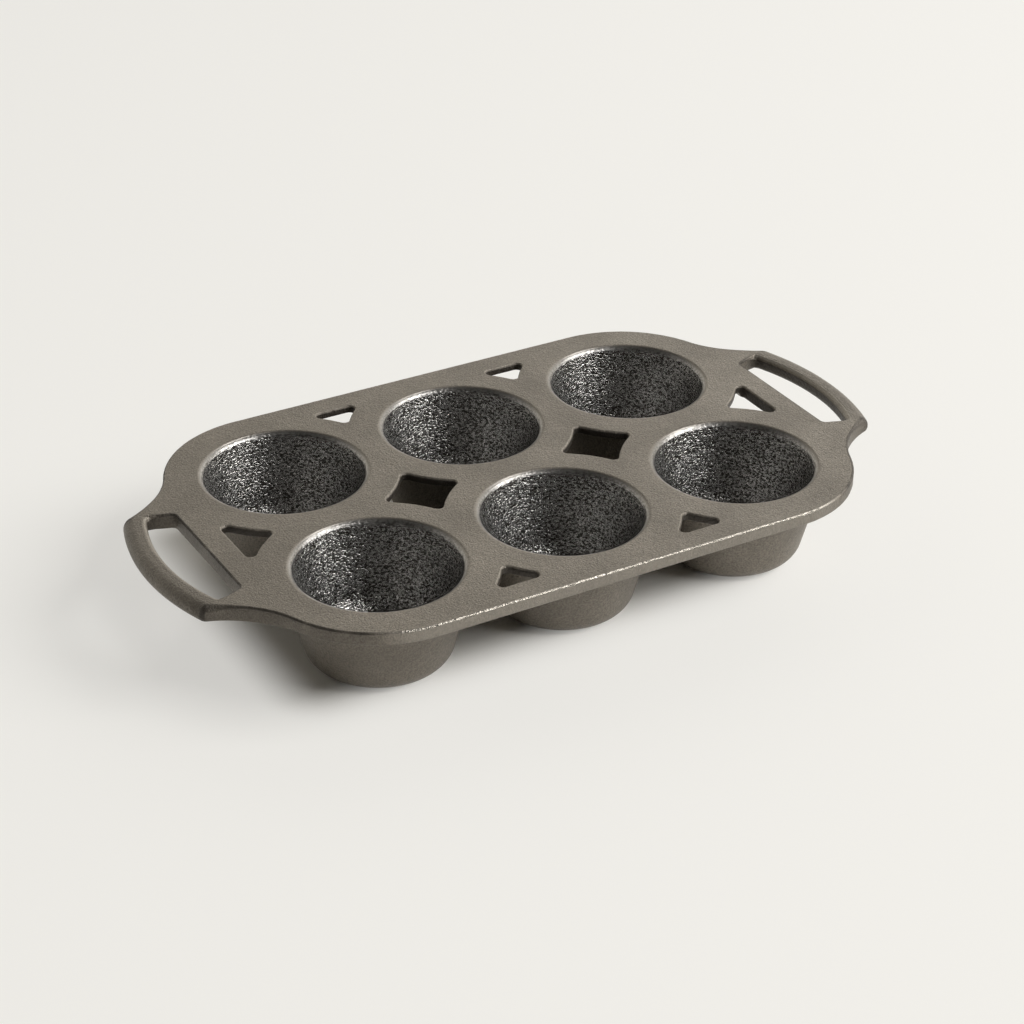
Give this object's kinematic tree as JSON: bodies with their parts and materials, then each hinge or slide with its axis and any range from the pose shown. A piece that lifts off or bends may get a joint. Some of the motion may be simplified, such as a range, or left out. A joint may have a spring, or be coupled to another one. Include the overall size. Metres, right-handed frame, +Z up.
{
  "type": "muffin pan",
  "caption": "Cast iron muffin pan: round drafted cups hung from a flat deck pierced by small windows, with a loop handle at each end.",
  "frame": {"origin": "middle of the pan on the surface that it stands on", "axes": "+X along the long side towards one handle, +Y across towards the back row of cups, +Z up out of the cups"},
  "size_m": [0.391, 0.2188, 0.0505],
  "materials": {
    "cast_deck": "warm grey-brown sand-cast grain with a thin dull seasoning",
    "seasoned_cup": "near-black seasoned iron with a pebbled casting surface inside",
    "cast_handle": "warm grey-brown cast iron, smoother where the hand bears"
  },
  "bodies": {
    "root": {"deck": "cast_deck", "cup_front_left": "seasoned_cup", "cup_front_middle": "seasoned_cup", "cup_front_right": "seasoned_cup", "cup_back_left": "seasoned_cup", "cup_back_middle": "seasoned_cup", "cup_back_right": "seasoned_cup", "handle_left": "cast_handle", "handle_right": "cast_handle"}
  },
  "joints": []
}
